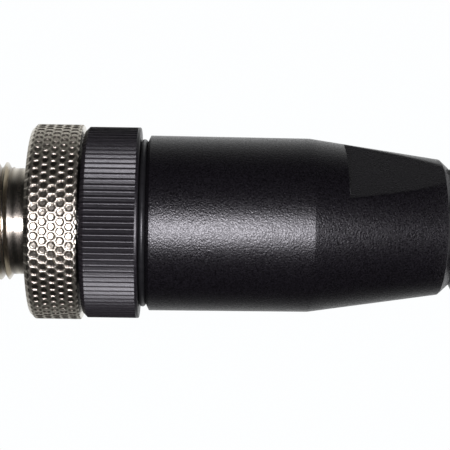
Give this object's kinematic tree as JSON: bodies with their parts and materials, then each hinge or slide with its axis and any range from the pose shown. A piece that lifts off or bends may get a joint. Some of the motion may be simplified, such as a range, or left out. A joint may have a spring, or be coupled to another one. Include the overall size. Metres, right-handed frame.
{
  "type": "m12 connector",
  "caption": "Straight male M12 cable connector with knurled locking screw, ribbed collar, tapered sleeve with spanner flats and a cable gland.",
  "frame": {"origin": "centre of the gland screw's rear face, at the bottom of the bounding box, where the standing connector touches the surface", "axes": "+Z along the connector's axis from the cable end to the contact pins, +X out of one spanner flat, +Y towards the coding key"},
  "size_m": [0.0198, 0.0198, 0.0574],
  "materials": {
    "nickel": "nickel-plated brass, satin",
    "collar_plastic": "black moulded plastic, satin",
    "sleeve_plastic": "black moulded plastic, fine spark-eroded texture",
    "insert_plastic": "black moulded plastic, smooth",
    "cage_plastic": "dark grey moulded plastic, satin",
    "black_rubber": "black rubber, slightly glossy",
    "brown_rubber": "brown rubber, slightly glossy",
    "gold": "gold-plated brass, smooth",
    "brass": "machined brass",
    "steel": "zinc-plated steel"
  },
  "bodies": {
    "housing": {"housing_sleeve": "sleeve_plastic", "clamp_cage": "cage_plastic", "cable_seal": "black_rubber"},
    "seal": {"sleeve_seal": "black_rubber"},
    "carrier": {"ribbed_collar": "collar_plastic", "terminal_block": "insert_plastic", "pin_insert": "insert_plastic", "contact_pin_1": "gold", "contact_pin_2": "gold", "contact_pin_3": "gold", "contact_pin_4": "gold", "wire_clamp_1": "brass", "wire_clamp_2": "brass", "wire_clamp_3": "brass", "wire_clamp_4": "brass", "terminal_screws": "steel", "insert_seal": "brown_rubber"},
    "coupling": {"locking_screw": "nickel"},
    "thrust": {"thrust_ring": "nickel"},
    "gland": {"gland_screw": "collar_plastic"}
  },
  "joints": [
    {"name": "carrier_travel", "type": "slide", "parent": "housing", "child": "seal", "axis": [0, 0, 1], "range_m": [0, 0.005]},
    {"name": "carrier_turn", "type": "hinge", "parent": "seal", "child": "carrier", "pos_m": [0, 0, 0.037], "axis": [0, 0, 1], "range_deg": [0, 1800]},
    {"name": "coupling_turn", "type": "hinge", "parent": "carrier", "child": "coupling", "pos_m": [0, 0, 0.047], "axis": [0, 0, 1], "continuous": true},
    {"name": "gland_travel", "type": "slide", "parent": "housing", "child": "thrust", "axis": [0, 0, -1], "range_m": [0, 0.004]},
    {"name": "gland_turn", "type": "hinge", "parent": "thrust", "child": "gland", "pos_m": [0, 0, 0.003], "axis": [0, 0, -1], "range_deg": [0, 1440]}
  ],
  "couplings": [
    {"joint": "carrier_turn", "follows": "carrier_travel", "rad_per_m": 6283.2},
    {"joint": "gland_turn", "follows": "gland_travel", "rad_per_m": 6283.2}
  ]
}
